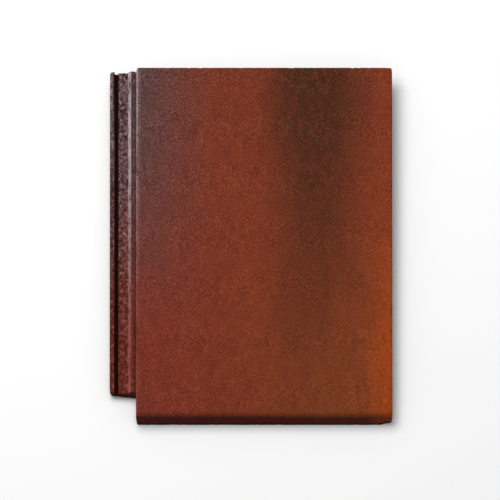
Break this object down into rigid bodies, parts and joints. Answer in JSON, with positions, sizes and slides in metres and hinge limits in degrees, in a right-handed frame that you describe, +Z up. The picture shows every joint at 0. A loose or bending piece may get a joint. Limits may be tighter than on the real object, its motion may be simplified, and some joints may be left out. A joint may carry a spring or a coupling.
{
  "type": "flat interlocking roof tile",
  "caption": "Flat rectangular concrete roof tile with a stepped side lock, raked head and tail cuts, a rounded tail edge and hanging nibs underneath.",
  "frame": {"origin": "centre of the footprint on the floor that the tile lies on", "axes": "+X across the roof, from the underlock to the overlock; +Y up the slope, towards the head; +Z up from the floor, out of the weathered face. The tile stands on its nib tips and its tail foot, so its face leans 1.4 degrees down towards the tail."},
  "size_m": [0.33, 0.4192, 0.0346],
  "materials": {
    "concrete": "fine sand-faced concrete, through-coloured and coated, terracotta red with brown flashes, matt"
  },
  "bodies": {
    "root": {"roof_tile": "concrete"}
  },
  "joints": []
}
